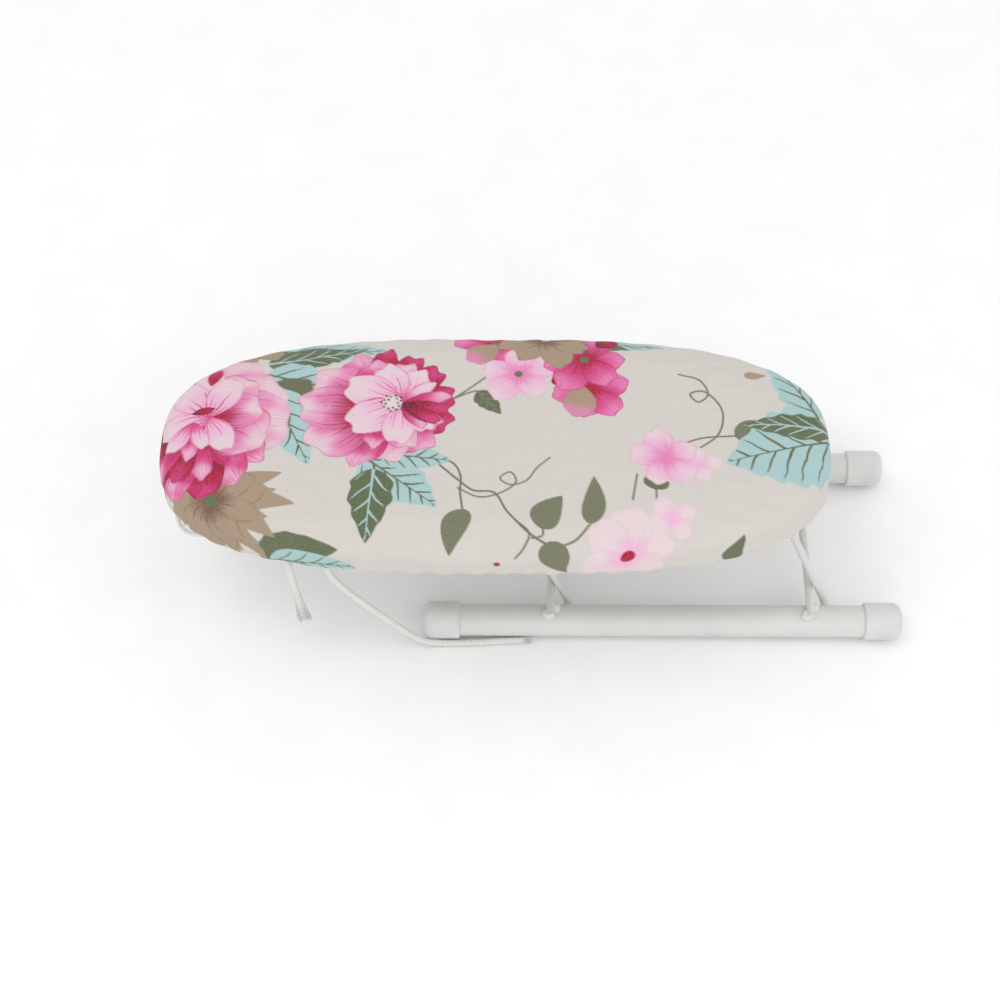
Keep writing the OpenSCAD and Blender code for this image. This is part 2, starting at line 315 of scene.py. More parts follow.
def cotton(name, base, printed):
    """Plain-woven cotton with thick and thin yarns, shade painted between them; the print's ink comes from
    the mesh.
    """
    n = Nodes(name)
    at = n.add("Attribute", attribute_name="print_mm")
    place = at.outputs["Vector"]
    warp = n.wave(place, 0.62, "X", 0.6)
    weft = n.wave(place, 0.62, "Y", 0.6)
    weave = n.math("MULTIPLY", warp, weft)
    slub_x = n.noise(n.stretched(place, (0.05, 1.6, 1.0)), 1.0, 3.0, 0.6)
    slub_y = n.noise(n.stretched(place, (1.6, 0.05, 1.0)), 1.0, 3.0, 0.6)
    slub = n.math("ADD", n.math("MULTIPLY", slub_x, 0.6), n.math("MULTIPLY", slub_y, 0.4))
    if printed:
        ink = n.add("Attribute", attribute_name="ink").outputs["Color"]
    else:
        ink = base
    dry = n.noise(place, 0.9, 4.0, 0.65)
    faded = n.mix(n.ranged(dry, 0.4, 0.8, 0.0, 0.12), ink, base)
    shade = n.mix(n.ranged(slub, 0.35, 0.65, 0.0, 1.0), (0.955, 0.95, 0.945, 1.0), (1.03, 1.03, 1.03, 1.0))
    toned = n.mix(1.0, faded, shade, "MULTIPLY")
    # painted shade: the colour darkens where the weave is low, in the gaps between the yarns
    yarns = n.mix(n.ranged(weave, 0.0, 1.0, 0.0, 1.0), (0.97, 0.97, 0.97, 1.0), (1.0, 1.0, 1.0, 1.0))
    colour = n.mix(1.0, toned, yarns, "MULTIPLY")
    rise = n.math("ADD", n.math("MULTIPLY", weave, 0.5), n.math("MULTIPLY", slub, 1.2))
    n.shader.inputs["Sheen Weight"].default_value = 0.10
    n.shader.inputs["Sheen Roughness"].default_value = 0.5
    n.shader.inputs["Specular IOR Level"].default_value = 0.2
    rough = n.ranged(slub, 0.3, 0.7, 0.82, 0.95)
    return n.finish(Base_Color=colour, Roughness=rough, Normal=n.bump(rise, 0.35, 0.00025))


def felt_wool():
    """Needled felt: matted fibres in mixed greys."""
    n = Nodes("felt")
    place = n.position()
    mat = n.noise(place, 700.0, 5.0, 0.7)
    blotch = n.noise(place, 90.0, 3.0)
    colour = n.mix(n.ranged(mat, 0.3, 0.7, 0.0, 1.0), rgba("a9a59b"), rgba("cfcbc1"))
    colour = n.mix(n.ranged(blotch, 0.3, 0.7, 0.0, 0.35), colour, rgba("b9b3a4"))
    n.shader.inputs["Sheen Weight"].default_value = 0.3
    return n.finish(Base_Color=colour, Roughness=n.ranged(mat, 0.3, 0.7, 0.88, 1.0),
                    Normal=n.bump(mat, 0.5, 0.0006))


def cord_cotton():
    """Spun cotton cord: fine fibres along the strands over an off-white."""
    n = Nodes("cord_cotton")
    place = n.position()
    fibre = n.noise(n.stretched(place, (1.0, 1.0, 0.6)), 1900.0, 4.0, 0.65)
    soil = n.noise(place, 120.0, 3.0)
    colour = n.mix(n.ranged(fibre, 0.3, 0.7, 0.0, 1.0), rgba("cfcfcc"), rgba("e8e8e5"))
    colour = n.mix(n.ranged(soil, 0.4, 0.8, 0.0, 0.3), colour, rgba("c0beb7"))
    n.shader.inputs["Sheen Weight"].default_value = 0.3
    return n.finish(Base_Color=colour, Roughness=n.ranged(fibre, 0.3, 0.7, 0.75, 0.92),
                    Normal=n.bump(fibre, 0.4, 0.0002))


def paint(obj, material):
    """The object's only material, on every slot."""
    if not obj.data.materials:
        obj.data.materials.append(material)
    for i in range(len(obj.data.materials)):
        obj.data.materials[i] = material
    for slot in obj.material_slots:
        slot.material = material


# ---------------------------------------------------------------- camera, light and floor
CAMERA_PLACE_MM = (-9.6, -518.1, 709.7)
CAMERA_AZIMUTH, CAMERA_ELEVATION, CAMERA_ROLL = -0.51, 52.47, -0.19
CAMERA_LENS = 76.4
WORLD_LIGHT = 0.88
FLOOR_HALF, FLOOR_Z = 6.0, -0.3 * MM


def look_axes(azimuth, elevation, roll):
    a, e, r = (math.radians(v) for v in (azimuth, elevation, roll))
    ahead = Vector((math.sin(a) * math.cos(e), math.cos(a) * math.cos(e), -math.sin(e)))
    right = Vector((math.cos(a), -math.sin(a), 0))
    up = right.cross(ahead)
    turned = right * math.cos(r) + up * math.sin(r)
    return turned, turned.cross(ahead), ahead


def make_camera():
    data = bpy.data.cameras.new("camera")
    data.lens = CAMERA_LENS
    data.sensor_width = 36.0
    data.clip_start, data.clip_end = 0.01, 50.0
    camera = bpy.data.objects.new("camera", data)
    bpy.context.scene.collection.objects.link(camera)
    right, up, ahead = look_axes(CAMERA_AZIMUTH, CAMERA_ELEVATION, CAMERA_ROLL)
    turn = Matrix((right, up, -ahead)).transposed()
    camera.matrix_world = Matrix.Translation(Vector(CAMERA_PLACE_MM) * MM) @ turn.to_4x4()
    bpy.context.scene.camera = camera


def area_light(name, place, size, power):
    data = bpy.data.lights.new(name, "AREA")
    data.shape = "DISK"
    data.size = size
    data.energy = power
    light = bpy.data.objects.new(name, data)
    bpy.context.scene.collection.objects.link(light)
    light.location = place
    aim = Vector((0.0, 0.0, 0.04)) - Vector(place)
    light.rotation_euler = aim.to_track_quat("-Z", "Y").to_euler()


def make_studio():
    world = bpy.data.worlds.new("studio")
    bpy.context.scene.world = world
    world.use_nodes = True
    background = world.node_tree.nodes["Background"]
    background.inputs[0].default_value = (1.0, 1.0, 1.0, 1.0)
    background.inputs[1].default_value = WORLD_LIGHT
    area_light("key", (-0.6, -0.2, 1.3), 0.9, 3.2)
    area_light("fill", (0.8, -0.5, 0.7), 0.9, 1.6)
    area_light("front", (0.0, -1.2, 0.5), 0.9, 1.6)
    bpy.context.scene.view_settings.view_transform = "Standard"
    corners = [(x * FLOOR_HALF, y * FLOOR_HALF, FLOOR_Z) for x, y in ((-1, -1), (1, -1), (1, 1), (-1, 1))]
    floor = new_mesh("floor", corners, [(0, 1, 2, 3)], smooth=False)
    n = Nodes("floor_paper")
    grain = n.noise(n.position(), 35.0, 3.0)
    colour = n.mix(n.ranged(grain, 0.3, 0.7, 0.0, 1.0), rgba("f6f6f6"), rgba("fafafa"))
    paint(floor, n.finish(Base_Color=colour, Roughness=n.ranged(grain, 0.3, 0.7, 0.9, 1.0)))


make_camera()
make_studio()

# ---------------------------------------------------------------- the drawstring
CORD_D = 2.8 * MM
LOOP_D = 2.0 * MM
CORD_STEP = 0.6 * MM
LONG_ROUTE_MM = [
    (-72.5, -45.2, 59.5), (-75.5, -45.1, 59.3), (-78.5, -45.4, 56.5), (-79.8, -46, 52.5),
    (-78.5, -46.8, 48), (-74.5, -47.6, 42), (-68, -48.2, 33.5), (-61, -48.5, 25),
    (-54, -48.4, 16), (-48.5, -48, 9), (-43.5, -47.2, 4), (-37, -46.4, 1.6),
    (-29, -46.2, 1.5), (-21, -45.8, 1.5), (-13, -45.2, 1.5), (-4, -44.8, 1.5)]
SHORT_ROUTE_MM = [
    (-102, -40.6, 59.5), (-99, -41.6, 58.9), (-96.3, -43, 56.1), (-94.9, -44.4, 51.5),
    (-93.9, -45.4, 44.5), (-92.9, -46, 36.5), (-91.9, -46.3, 28.5), (-90.9, -46.5, 19.5)]
LOOP_ROUTE_MM = [
    (-136, -12, 58.9), (-136.9, -13, 56.1), (-139.1, -15.4, 52.7), (-139.9, -19, 49.9),
    (-138.5, -23.2, 48.5), (-135.1, -27, 48.9), (-130.7, -29.6, 51.1), (-126.9, -31, 53.9),
    (-124.5, -31.6, 56.1), (-123.5, -31.6, 58.9)]
YARN_R, YARN_SPREAD = 0.24 * MM, 1.1 * MM
THIRD = 2.094

cord_white = cord_cotton()


def route(points_mm):
    """A cord's middle line, in metres, through its points in millimetres."""
    return smooth_path(np.array(points_mm) * MM, CORD_STEP)


def drawstring_end(name, node, route_mm, diameter, strands=3):
    """One free end of the drawstring, built as a twisted cord along its route in place of the CAD part."""
    rope, path = twisted_rope(name, route(route_mm), diameter, strands)
    paint(rope, cord_white)
    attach(rope, "board")
    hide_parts(node)
    return rope


def frayed_end(name, path, share, count, spread, over, seed):
    """Loose three-sided yarns of a cut end: one mesh, over a path's last share and a little past it."""
    chance = np.random.default_rng(seed)
    stretch = path[int(len(path) * (1 - share)):]
    ahead = stretch[-1] - stretch[-4]
    ahead = ahead / np.linalg.norm(ahead)
    side = np.cross(ahead, [0, 1, 0])
    side = side / np.linalg.norm(side)
    deep = np.cross(ahead, side)
    t = np.linspace(0, 1, 9)[:, None]
    along = np.stack([np.interp(t[:, 0] * (len(stretch) - 1), range(len(stretch)), stretch[:, i])
                      for i in range(3)], axis=1)
    verts, faces = [], []
    for _ in range(count):
        a, out = chance.uniform(0, 2 * math.pi), math.sqrt(chance.uniform(0, 1))
        lean, flat = out * math.cos(a), out * math.sin(a)
        bend, far = chance.uniform(-0.25, 0.25), over * chance.uniform(0.0, 1.0)
        line = (along + ahead * far * t + side * lean * YARN_SPREAD + deep * flat * YARN_SPREAD
                + side * (lean + bend * t) * spread * t ** 1.6 + deep * flat * 0.3 * spread * t ** 1.6)
        line[:, 2] = np.maximum(line[:, 2], 0.3 * MM)
        _, u, v = frames_along(line)
        first = len(verts)
        for i, p in enumerate(line):
            r = YARN_R * (1 - 0.6 * i / 8)
            verts += [p + r * (math.cos(k * THIRD) * u[i] + math.sin(k * THIRD) * v[i]) for k in range(3)]
        for i in range(8):
            for k in range(3):
                a, b = first + 3 * i + k, first + 3 * i + (k + 1) % 3
                faces.append((a, b, b + 3, a + 3))
        faces += [(first + 2, first + 1, first), (first + 24, first + 25, first + 26)]
    fray = new_mesh(name, verts, faces)
    paint(fray, cord_white)
    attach(fray, "board")
    return fray


short_fray = frayed_end("short_tail_fray", route(SHORT_ROUTE_MM), 0.5, 80, 1.7 * MM, 2.4 * MM, 5)
long_fray = frayed_end("long_tail_fray", route(LONG_ROUTE_MM), 0.05, 30, 0.5 * MM, 3.0 * MM, 7)
short_tail = drawstring_end("short_tail_cord", "short_tail", SHORT_ROUTE_MM, CORD_D)
long_tail = drawstring_end("long_tail_cord", "long_tail", LONG_ROUTE_MM, CORD_D)
drawstring_end("end_loop_cord", "end_loop", LOOP_ROUTE_MM, LOOP_D, strands=2)
for hanging in (short_tail, long_tail, short_fray, long_fray):
    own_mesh(hanging)

# ---------------------------------------------------------------- the printed cotton
INK = {name: linear(code) for name, code in {
    "cream": "cfcac4", "crimson": "a80f3c", "rose": "cf3f80", "pink": "df82b4", "blush": "e6b2d0",
    "petal": "dfcdd1", "wine": "641735", "tan": "a48f79", "bark": "765947", "olive": "646b50",
    "moss": "5c6848", "sage": "73765f", "sky": "a6c5c6", "stamen": "2c2028", "stem": "6c735b",
}.items()}


def smoothstep(low, high, value):
    t = np.clip((value - low) / (high - low), 0, 1)
    return t * t * (3 - 2 * t)


PEONY_TONES = {"pale": ("crimson", "pink", "petal"), "warm": ("crimson", "rose", "blush"),
               "dark": ("wine", "crimson", "rose"), "cream": ("rose", "blush", "petal")}


class Print:
    """The cloth's ink, painted on points given in millimetres from the middle of the board."""

    def __init__(self, points):
        self.at = points
        self.ink = np.tile(INK["cream"], (len(points), 1))
        x, y = points[:, 0], points[:, 1]
        self.wobble = (np.sin(0.31 * x + 0.47 * y) + np.sin(0.62 * x - 0.35 * y + 2)
                       + np.sin(0.8 * y + x / 7)) / 3

    def near(self, at, reach):
        away = self.at - np.array(at, float)
        found = np.nonzero((np.abs(away[:, 0]) < reach) & (np.abs(away[:, 1]) < reach))[0]
        return found, away[found]

    def lay(self, index, cover, colour):
        cover = cover[:, None]
        self.ink[index] = self.ink[index] * (1 - cover) + colour * cover

    def petal(self, at, turn, length, width, deep, mid, pale, seed=0, streaks=12, reach=0.6, edge=0.7,
              lobes=0.03, depth=0.3):
        """One petal, from its deep base to a pale round end, with drawn streaks and a drawn rim."""
        index, away = self.near(at, length * 1.15)
        a = math.radians(turn)
        u = (away[:, 0] * math.cos(a) + away[:, 1] * math.sin(a)) / length
        v = (-away[:, 0] * math.sin(a) + away[:, 1] * math.cos(a)) / (width / 2)
        wobble = self.wobble[index]
        t = np.clip(u / (1 - 0.05 * v ** 2 + lobes * np.cos(6 * v + seed)), 0, 1.3)
        rise = np.sin(np.clip(t / 0.6, 0, 1) * np.pi / 2) ** 0.75
        fall = np.sqrt(np.clip(1 - np.clip((t - 0.6) / 0.4, 0, 1) ** 2, 0, 1))
        half = np.where(t < 0.6, rise, fall) * (1 + 0.03 * wobble)
        margin = np.minimum((half - np.abs(v)) * width / 2, (1 - t) * length)
        inside = np.where(u > 0, smoothstep(-0.25, 0.25, margin), 0)
        s = v / np.maximum(half, 0.05)
        body = smoothstep(depth - 0.25, depth + 0.22, t + 0.06 * wobble)[:, None]
        light = smoothstep(depth + 0.05, 0.97, t + 0.10 * wobble - 0.15 * np.abs(s))[:, None]
        colour = INK[deep] * (1 - body) + INK[mid] * body
        colour = colour * (1 - light) + INK[pale] * light
        for ink, phase, low, high, weight in ((deep, 0.0, 0.0, reach, 0.95), (mid, 0.5, 1.0, 0.7, 0.5)):
            turns = s * streaks / 2 + 0.25 * wobble + phase + seed
            line = np.abs((turns % 1) - 0.5) * 2
            end = low + (high - low) * (0.78 + 0.22 * np.sin(np.floor(turns) * 2.4 + seed))
            left = np.clip((end - t) / (end - low), 0, 1)
            mark = (smoothstep(0.55 * left + 0.08, 0.55 * left - 0.12, line) * (left > 0) * weight)[:, None]
            colour = colour * (1 - mark) + INK[ink] * mark
        rim = (smoothstep(1.0, 0.2, margin) * edge * (0.55 + 0.45 * wobble))[:, None].clip(0, 1)
        colour = colour * (1 - rim) + INK[deep] * rim
        self.lay(index, inside, colour)

    def ring(self, at, first, step, count, length, width, **petal):
        for i in range(count):
            uneven = 1 + 0.07 * math.sin(2.3 * i + first)
            self.petal(at, first + i * step + 5 * math.sin(3.1 * i + first), length=length * uneven,
                       width=width * uneven, seed=i * 1.7, **petal)

    def leaf(self, at, turn, length, width, fill, vein=None, shade=None, teeth=0.0, veins=6, bend=0.0):
        """A pointed leaf: soft lobes, a middle rib, curved side veins, and a darker side near its base."""
        index, away = self.near(at, length * 1.2)
        a = math.radians(turn)
        u = (away[:, 0] * math.cos(a) + away[:, 1] * math.sin(a)) / length
        v = (-away[:, 0] * math.sin(a) + away[:, 1] * math.cos(a)) / (width / 2) - bend * np.sin(np.pi * u)
        wobble = self.wobble[index]
        lobe = teeth * (0.5 + 0.5 * np.sin(2 * np.pi * u * veins + 0.8 * wobble))
        half = np.sin(np.pi * np.clip(u, 0, 1) ** 0.62) ** 0.85 * (1 - lobe)
        inside = np.where((u > 0) & (u < 1), smoothstep(-0.25, 0.25, (half - np.abs(v)) * width / 2), 0)
        colour = np.tile(INK[fill], (len(index), 1))
        if shade:
            border = v + 0.3 * np.sin(u * 9 + 1) + 0.15 * wobble + smoothstep(0.3, 0.9, u)
            dark = smoothstep(0.06, -0.06, border)
            colour = colour * (1 - dark[:, None]) + INK[shade] * dark[:, None]
        if vein:
            rib = smoothstep(0.45, 0.2, np.abs(v) * width / 2 * (0.5 + 1.2 * u)) * smoothstep(1.0, 0.85, u)
            turns = (u - 0.30 * np.abs(v) ** 0.8) * veins + 0.2 * np.sign(v) + 0.08 * wobble
            away_mm = np.abs((turns % 1) - 0.5) * length / veins
            taper = 0.75 - 0.55 * np.abs(v) / np.maximum(half, 0.05)
            side = smoothstep(taper + 0.15, taper - 0.15, away_mm)
            side = side * smoothstep(0.9, 0.75, np.abs(v) / (half + 0.01))
            mark = np.maximum(rib, side * smoothstep(0.02, 0.12, u))[:, None]
            colour = colour * (1 - mark) + INK[vein] * mark
        self.lay(index, inside, colour)

    def line(self, points, width, ink):
        """A drawn stem through points."""
        curve = smooth_path(np.array([(x, y, 0.0) for x, y in points]), 0.8)[:, :2]
        low, high = curve.min(0) - width, curve.max(0) + width
        index = np.nonzero(((self.at > low) & (self.at < high)).all(axis=1))[0]
        if not len(index):
            return
        here = self.at[index]
        away = np.full(len(index), 1e9)
        for a, b in zip(curve[:-1], curve[1:]):
            d = b - a
            t = np.clip(((here - a) @ d) / (d @ d), 0, 1)
            away = np.minimum(away, np.linalg.norm(here - a - t[:, None] * d, axis=1))
        self.lay(index, smoothstep(width / 2 + 0.25, width / 2 - 0.15, away), INK[ink])

    def dot(self, at, radius, ink):
        index, away = self.near(at, radius * 1.6)
        self.lay(index, smoothstep(radius + 0.25, radius - 0.25, np.linalg.norm(away, axis=1)), INK[ink])

    def fan(self, at, size, petals, depth, streaks, **petal):
        """Petals round a point: each a lean, a length, a width and one of the bloom's tones."""
        for i, (lean, long, wide, tone) in enumerate(petals):
            deep, mid, pale = PEONY_TONES[tone]
            self.petal(at, lean, size * long, size * wide, deep, mid, pale, seed=0.7 * i + long,
                       depth=depth, streaks=streaks, **petal)

    def peony(self, at, size, heart):
        """A full bloom round a pale cup: pale on its left, and deep crimson on its right."""
        x, y = at
        self.fan(at, size, ((110, 0.96, 0.62, "warm"), (86, 1.02, 0.40, "dark"), (62, 0.98, 0.44, "dark"),
                            (40, 1.0, 0.48, "dark"), (14, 0.98, 0.52, "dark"), (-14, 0.94, 0.56, "dark"),
                            (-44, 0.9, 0.62, "warm"), (-76, 0.86, 0.66, "pale"), (-108, 0.94, 0.60, "warm"),
                            (146, 0.98, 0.80, "pale"), (-144, 1.04, 0.82, "pale"), (178, 1.02, 0.74, "pale")),
                 0.52, 12, reach=0.93, edge=0.7, lobes=0.045)
        inner = (x + 0.08 * size, y + 0.04 * size)
        self.fan(inner, size * 0.72, ((104, 1.05, 0.80, "warm"), (68, 1.05, 0.62, "pale"),
                                      (38, 1.05, 0.46, "dark"), (10, 1.08, 0.52, "dark"),
                                      (-24, 1.05, 0.56, "warm"), (-64, 1.02, 0.64, "pale"),
                                      (-104, 0.95, 0.50, "warm")), 0.55, 9,
                 reach=0.97, edge=0.9, lobes=0.05)
        cup = np.array(heart, float)
        self.fan(cup + (0.12 * size, 0.02 * size), size * 0.64,
                 ((64, 0.9, 0.6, "cream"), (112, 1.0, 0.7, "cream"), (158, 1.2, 0.86, "cream"),
                  (212, 1.2, 0.86, "cream"), (266, 1.05, 0.7, "cream"), (308, 0.9, 0.5, "cream")), 0.12, 8,
                 reach=0.75, edge=0.8, lobes=0.05)
        self.fan(cup + (0.10 * size, -0.02 * size), size * 0.5,
                 ((40, 1.1, 0.42, "cream"), (14, 1.3, 0.44, "warm"), (-50, 1.0, 0.40, "warm"),
                  (-8, 1.25, 0.42, "dark"), (-30, 1.15, 0.40, "dark")), 0.3, 5,
                 reach=0.8, edge=0.9)
        self.dot(cup, size * 0.12, "petal")
        for i in range(18):
            a = i * 2.4
            r = size * 0.14 * math.sqrt((i + 5) / 22)
            self.dot(cup + (r * math.cos(a), r * math.sin(a)), 0.5, "stamen" if i % 3 else "olive")

    def blossom(self, at, size, turn, count, tones, eye, eye_size, spread=0.8):
        """A simple open flower."""
        deep, mid, pale = tones
        self.ring(at, turn, 360 / count, count, length=size, width=size * spread, deep=deep, mid=mid,
                  pale=pale, streaks=5, reach=0.6, edge=0.75)
        if eye:
            self.dot(at, eye_size, eye)


def sprays(p):
    """The left half: two peonies on blue leaves, and the ragged tan flower."""
    p.leaf((-92, 46), -4, 50, 20, "sky", "moss", "olive", teeth=0.12, veins=6)
    p.leaf((-90, 36), 12, 40, 15, "olive", "sky", "moss", teeth=0.10, veins=5)
    p.leaf((-90, 30), -18, 40, 20, "sky", "olive", "olive", teeth=0.14, veins=5)
    p.leaf((-88, 22), -66, 42, 21, "sky", "moss", "olive", teeth=0.14, veins=5)
    p.blossom((-98, 52), 17, 20, 6, ("bark", "tan", "tan"), "olive", 2.0, spread=0.6)
    p.leaf((-50, -12), -40, 37, 24, "sky", "olive", None, teeth=0.14, veins=6)
    p.leaf((-44, -10), -8, 28, 15, "sky", "olive", None, teeth=0.12, veins=5)
    p.leaf((-46, -18), -94, 33, 18, "moss", "sky", "moss", teeth=0.14, veins=4)
    p.leaf((-95, -62), 14, 37, 20, "olive", "moss", "moss", teeth=0.06, veins=5, bend=0.35)
    p.leaf((-91, -60), -5, 37, 15, "sky", "olive", None, veins=5, bend=0.1)
    p.peony((-45, 12), 31, (-40, 15))
    for i in range(15):
        turn = -178 + i * 14.5
        p.leaf((-107, -32), turn, (32, 25, 29, 23)[i % 4], 11, "tan", bend=0.3 * (-1) ** i)
    p.blossom((-107, -32), 20, 8, 11, ("bark", "tan", "tan"), "olive", 2.4, spread=0.5)
    left_bloom(p)


def left_bloom(p):
    """The peony over the left end: pale above, crimson below, round a cream fold."""
    p.fan((-116, 6), 37, ((92, 0.95, 0.8, "pale"), (62, 1.02, 0.85, "pale"), (28, 1.0, 0.85, "pale"),
                          (-2, 1.0, 0.9, "pale")), 0.42, 13, reach=0.85, edge=0.25)
    p.fan((-116, 6), 37, ((-34, 0.9, 0.5, "warm"), (-58, 0.95, 0.5, "warm"), (-80, 1.0, 0.5, "dark"),
                          (-104, 1.0, 0.5, "warm"), (-128, 1.0, 0.5, "dark"), (-150, 1.0, 0.5, "warm")),
          0.6, 6, reach=0.95, edge=0.8)
    p.fan((-118, 4), 27, ((-50, 0.9, 0.42, "dark"), (-74, 1.0, 0.4, "warm"), (-97, 1.0, 0.42, "dark"),
                          (-122, 1.05, 0.42, "warm"), (-148, 1.0, 0.42, "dark")),
          0.5, 5, reach=0.9, edge=0.9)
    p.fan((-112, 9), 27, ((-30, 1.0, 1.0, "pale"), (48, 0.9, 0.8, "pale"), (10, 0.8, 0.7, "pale")), 0.5, 12,
          reach=0.9, edge=0.8)
    p.fan((-111, 8), 23, ((160, 1.0, 0.66, "cream"), (95, 1.2, 0.62, "cream"), (128, 1.05, 0.66, "cream"),
                          (66, 0.95, 0.6, "cream"), (200, 0.9, 0.6, "cream"), (-62, 0.8, 0.5, "cream")),
          0.1, 5, reach=0.7, edge=0.7)
    p.fan((-117, 6), 18, ((-92, 1.05, 0.42, "warm"), (-122, 0.95, 0.42, "cream"), (-68, 0.8, 0.4, "cream")),
          0.3, 4, reach=0.8, edge=0.9)
    p.petal((-118, 10), 15, 9, 4, "wine", "crimson", "crimson", streaks=3)
    p.petal((-112, 25), 80, 11, 6, "crimson", "crimson", "rose", streaks=4)


def vines(p):
    """The middle: fine stems with plain leaves, and a curl."""
    p.line([(-22, -13), (-16, -15), (-13, -21), (-13, -29), (-12, -37)], 0.75, "stem")
    p.line([(-21, -16), (-14, -23), (-8, -28), (0, -29), (5, -38), (13, -47), (22, -52), (30, -50),
            (36, -43)], 0.8, "stem")
    p.line([(-14, -27), (-6, -31), (2, -29), (8, -24), (6, -19), (2, -22), (6, -25), (12, -23), (16, -17),
            (21, -12)], 0.6, "stem")
    p.line([(8, -42), (13, -47), (11, -53), (8, -57)], 0.7, "stem")
    p.line([(14, -49), (18, -48), (18, -44)], 0.7, "stem")
    p.leaf((-11, -37), -108, 20, 10, "sage", bend=-0.35)
    p.leaf((17, -45), 60, 17, 12, "sage", bend=0.2)
    p.leaf((36, -43), 86, 22, 9, "sage", bend=-0.2)
    p.leaf((19, -51), -60, 18, 11, "sage", bend=0.15)
    p.dot((1, -60), 1.3, "crimson")
    p.line([(-21, 14), (-13, 20), (-2, 30)], 0.7, "stem")
    p.line([(-17, 17), (-8, 21), (0, 20)], 0.7, "stem")
    p.leaf((-7, 21), -52, 15, 9, "moss", "sage", "moss", teeth=0.12, veins=4)


def bouquet(p):
    """The far middle: a bunch of small open flowers."""
    p.leaf((30, 53), -10, 38, 12, "sky", "moss", "olive", teeth=0.1)
    p.blossom((0, 50), 16, 60, 6, ("crimson", "rose", "pink"), "olive", 1.8)
    p.petal((0, 50), 235, 17, 12, "tan", "tan", "pink", seed=2, streaks=5, edge=0.3)
    p.blossom((9, 30), 15, 20, 5, ("pink", "blush", "petal"), "olive", 1.6)
    for lean in (150, 210):
        p.petal((33, 31), lean, 12, 10, "wine", "crimson", "crimson", seed=1, streaks=4)
    p.blossom((37, 22), 15, 15, 6, ("crimson", "rose", "pink"), None, 0)
    p.petal((34, 24), 262, 16, 13, "tan", "tan", "pink", seed=1, streaks=4, edge=0.3)
    p.blossom((35, 38), 17, 5, 6, ("crimson", "rose", "pink"), "olive", 1.8)
    p.petal((40, 47), 40, 10, 9, "wine", "crimson", "crimson", seed=4, streaks=4)
    p.blossom((20, 54), 20, -120, 8, ("bark", "tan", "tan"), "petal", 1.8, spread=0.62)


def right_end(p):
    """The right half: a curl, two pale flowers and the big blue leaves."""
    p.line([(72, 30), (80, 27), (83, 20), (79, 16), (76, 20), (82, 21), (88, 12), (86, 0), (76, -9)],
           0.7, "stem")
    p.line([(70, -6), (80, -2), (93, -1)], 0.7, "stem")
    p.leaf((92, 0), 6, 19, 11, "sage", bend=0.15)
    p.line([(61, -26), (61, -35)], 0.7, "stem")
    p.line([(54, -20), (52, -32)], 0.7, "stem")
    p.blossom((78, -15), 9, 10, 4, ("blush", "petal", "petal"), None, 0)
    p.leaf((60, -27), 70, 10, 10, "olive")
    p.blossom((65, -12), 14, 30, 5, ("pink", "blush", "petal"), None, 0)
    p.blossom((67, -40), 10, 30, 4, ("blush", "petal", "petal"), None, 0)
    p.blossom((51, -56), 19, 24, 6, ("blush", "petal", "petal"), "crimson", 2.8, spread=0.84)
    p.leaf((126, 10), 116, 40, 20, "sky", "olive", None, teeth=0.12, veins=5)
    p.leaf((132, 0), 198, 46, 40, "sky", "olive", None, teeth=0.12, veins=6)
    p.leaf((131, 4), 180, 36, 13, "olive", "sky", "moss", teeth=0.15, veins=5, bend=-0.2)
    p.leaf((98, 31), 8, 9, 4, "tan")
    p.leaf((97, -59), 100, 14, 9, "olive", bend=0.15)
    p.leaf((104, -62), 40, 12, 7, "sky")


def fringes(p):
    """What turns down over the edges, where the photographed print runs out of sight."""
    p.blossom((-60, 72), 15, 10, 6, ("crimson", "pink", "blush"), "olive", 1.4)
    p.leaf((-50, 66), 10, 30, 12, "sky", "olive", teeth=0.12)
    p.blossom((70, 68), 14, 10, 6, ("pink", "blush", "petal"), "crimson", 1.8)
    p.leaf((80, 62), -12, 26, 11, "sage")
    p.blossom((-34, -81), 12, 20, 5, ("rose", "blush", "petal"), "olive", 1.3)
    p.leaf((64, -76), 150, 24, 11, "sage")


def ink_for(points_mm):
    p = Print(points_mm)
    fringes(p)
    vines(p)
    sprays(p)
    bouquet(p)
    right_end(p)
    return p.ink


# ---------------------------------------------------------------- the padded cover
AROUND = 320
SIDE_TURN_MM = [(54, 77.6), (28, 77.5), (14, 77.2), (8, 76.7), (4, 75.6), (1.4, 73.6), (0.2, 71.0), (0, 68),
                (0, 63.5), (0.3, 61), (1.4, 59.2), (3.2, 58.3), (5, 58.1), (7.4, 58.6)]
ROW_STEP_MM = 1.6
GATHERS = 56
PUCKER_MM = 0.85
PRESSURE = 4.0
SWELL_CAP = 1.3 * MM
SIM_FRAMES = 20
HELD_ROWS = 4


def cover_rows():
    """Insets and heights of the cover's rows from the middle to the hem, and each row's flat inset."""
    rows = resample(SIDE_TURN_MM, ROW_STEP_MM)
    run = np.concatenate([[0], np.cumsum(np.linalg.norm(np.diff(rows, axis=0), axis=1))])
    flat = rows[0][0] - run
    return rows, flat


